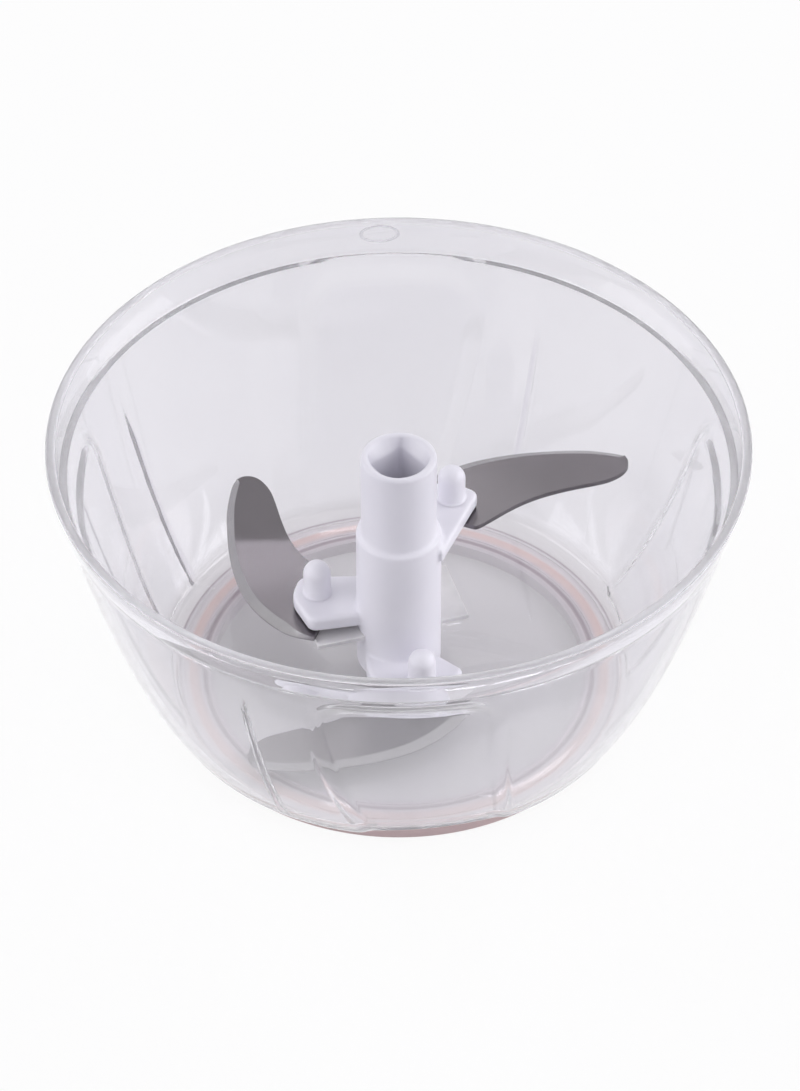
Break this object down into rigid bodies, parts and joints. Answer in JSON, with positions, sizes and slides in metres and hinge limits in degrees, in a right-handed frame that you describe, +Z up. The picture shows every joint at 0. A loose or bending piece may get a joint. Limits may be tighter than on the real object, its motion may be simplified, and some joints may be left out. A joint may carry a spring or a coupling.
{
  "type": "food chopper bowl with blade set",
  "caption": "Clear round chopper bowl with sunken wall panels on a soft base ring, with a turning hub that carries curved blades at different heights.",
  "frame": {"origin": "centre of the base ring's underside, on the table under the bowl's axis", "axes": "+Z up along the bowl's axis; -Y towards the pictured front, where the lower blade's arm points"},
  "size_m": [0.124, 0.124, 0.0585],
  "materials": {
    "clear_plastic": "clear moulded plastic, glossy",
    "pink_rubber": "soft non-slip, satin",
    "white_plastic": "moulded, satin gloss",
    "brushed_steel": "stamped and ground stainless",
    "bright_steel": "bright stainless"
  },
  "bodies": {
    "bowl": {"bowl": "clear_plastic", "base_ring": "pink_rubber", "spindle_pin": "bright_steel"},
    "blade_set": {"blade_hub": "white_plastic", "carrier_plate": "bright_steel", "upper_blade": "brushed_steel", "middle_blade": "brushed_steel", "lower_blade": "brushed_steel", "upper_blade_rivet": "white_plastic", "middle_blade_rivet": "white_plastic", "lower_blade_rivet": "white_plastic"}
  },
  "joints": [
    {"name": "blade_spin", "type": "hinge", "parent": "bowl", "child": "blade_set", "pos_m": [0, 0, 0.0057], "axis": [0, 0, 1], "continuous": true}
  ]
}
